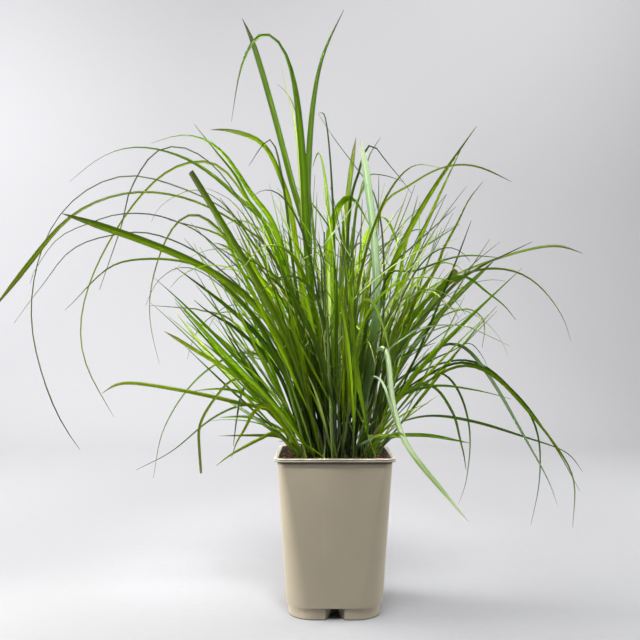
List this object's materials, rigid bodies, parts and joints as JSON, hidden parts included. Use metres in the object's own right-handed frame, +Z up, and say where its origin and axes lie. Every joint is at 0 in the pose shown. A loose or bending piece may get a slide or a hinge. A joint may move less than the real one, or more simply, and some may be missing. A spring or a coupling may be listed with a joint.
{
  "type": "potted ornamental grass",
  "caption": "Clump of arching ornamental grass with long folded blades and sheathed stems, growing in potting soil in a tall, square, tapering nursery pot on a notched foot.",
  "frame": {"origin": "under the middle of the pot, on the surface that the pot stands on", "axes": "+Z up; the pot's front faces -Y and +X is to the right of someone who looks at that front"},
  "size_m": [0.9514, 0.8578, 0.9146],
  "materials": {
    "pot_plastic": "taupe injection-moulded plastic, satin",
    "potting_soil": "dark bark compost, crumbly and dull",
    "stem_green": "sheathed grass culm, yellow-green, slightly glossy",
    "blade_green": "fresh grass blade, satin, with fine lengthwise veins and a pale midrib"
  },
  "bodies": {
    "root": {"blade_back_high": "blade_green", "blade_back_left": "blade_green", "blade_back_middle": "blade_green", "blade_back_right": "blade_green", "blade_front_high": "blade_green", "blade_front_left": "blade_green", "blade_front_middle": "blade_green", "blade_front_right": "blade_green", "blade_left_back_drop": "blade_green", "blade_left_blunt": "blade_green", "blade_left_bright_hook": "blade_green", "blade_left_drooping": "blade_green", "blade_left_elbow": "blade_green", "blade_left_farthest": "blade_green", "blade_left_high_arch": "blade_green", "blade_left_kinked": "blade_green", "blade_left_long_arch": "blade_green", "blade_left_long_hanging": "blade_green", "blade_left_long_low": "blade_green", "blade_left_lowest": "blade_green", "blade_left_mid": "blade_green", "blade_left_mid_high": "blade_green", "blade_left_mid_low": "blade_green", "blade_left_pale_dip": "blade_green", "blade_left_rim_pale": "blade_green", "blade_left_wide_straight": "blade_green", "blade_right_arch": "blade_green", "blade_right_back_drop": "blade_green", "blade_right_broken": "blade_green", "blade_right_dark_wide": "blade_green", "blade_right_farthest": "blade_green", "blade_right_high_arch": "blade_green", "blade_right_hook": "blade_green", "blade_right_inner_drop": "blade_green", "blade_right_inner_fall": "blade_green", "blade_right_long_drop": "blade_green", "blade_right_low_dark": "blade_green", "blade_right_mid_low": "blade_green", "blade_right_olive": "blade_green", "blade_right_pale_hook": "blade_green", "blade_right_rim": "blade_green", "blade_right_shoulder": "blade_green", "blade_right_silvery": "blade_green", "blade_right_straight": "blade_green", "blade_right_upper": "blade_green", "blade_right_upper_back": "blade_green", "blade_tall_arching": "blade_green", "blade_tall_left": "blade_green", "blade_tall_right": "blade_green", "pot": "pot_plastic", "soil": "potting_soil", "stem_1": "stem_green", "stem_2": "stem_green", "stem_3": "stem_green", "stem_4": "stem_green", "stem_5": "stem_green", "stem_6": "stem_green", "stem_7": "stem_green", "stem_8": "stem_green", "stem_9": "stem_green"}
  },
  "joints": []
}
